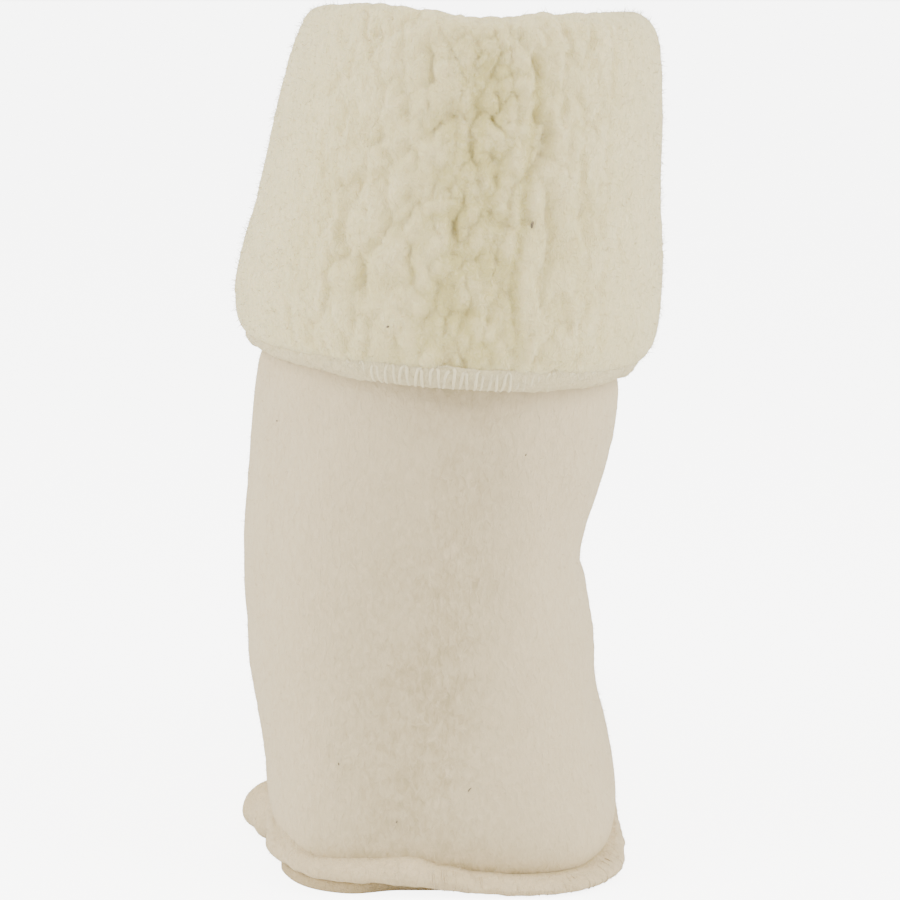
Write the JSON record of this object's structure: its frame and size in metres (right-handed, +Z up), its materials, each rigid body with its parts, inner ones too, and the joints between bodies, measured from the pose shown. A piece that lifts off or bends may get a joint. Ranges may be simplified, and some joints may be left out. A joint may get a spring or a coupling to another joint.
{
  "type": "boot liner",
  "caption": "Hollow woollen boot liner standing on its foot, with a curly pile cuff turned down over a smooth felted leg.",
  "frame": {"origin": "centre of the bounding box in X and Y, on the plane that the sole rests on", "axes": "+Z up the leg, +Y from the heel to the toe, +X to the right as seen from behind the heel, which is the picture's view"},
  "size_m": [0.1546, 0.2907, 0.3076],
  "materials": {
    "felted_wool": "matte napped",
    "wool_pile": "matte curly pile",
    "hem_thread": "matte spun thread",
    "sole_wool": "matte napped",
    "seam_wool": "matte, overlocked",
    "seam_thread": "matte spun thread"
  },
  "bodies": {
    "root": {"upper": "felted_wool", "cuff": "wool_pile", "cuff_hem": "hem_thread", "sole": "sole_wool", "sole_seam": "seam_wool", "front_seam": "seam_thread"}
  },
  "joints": []
}
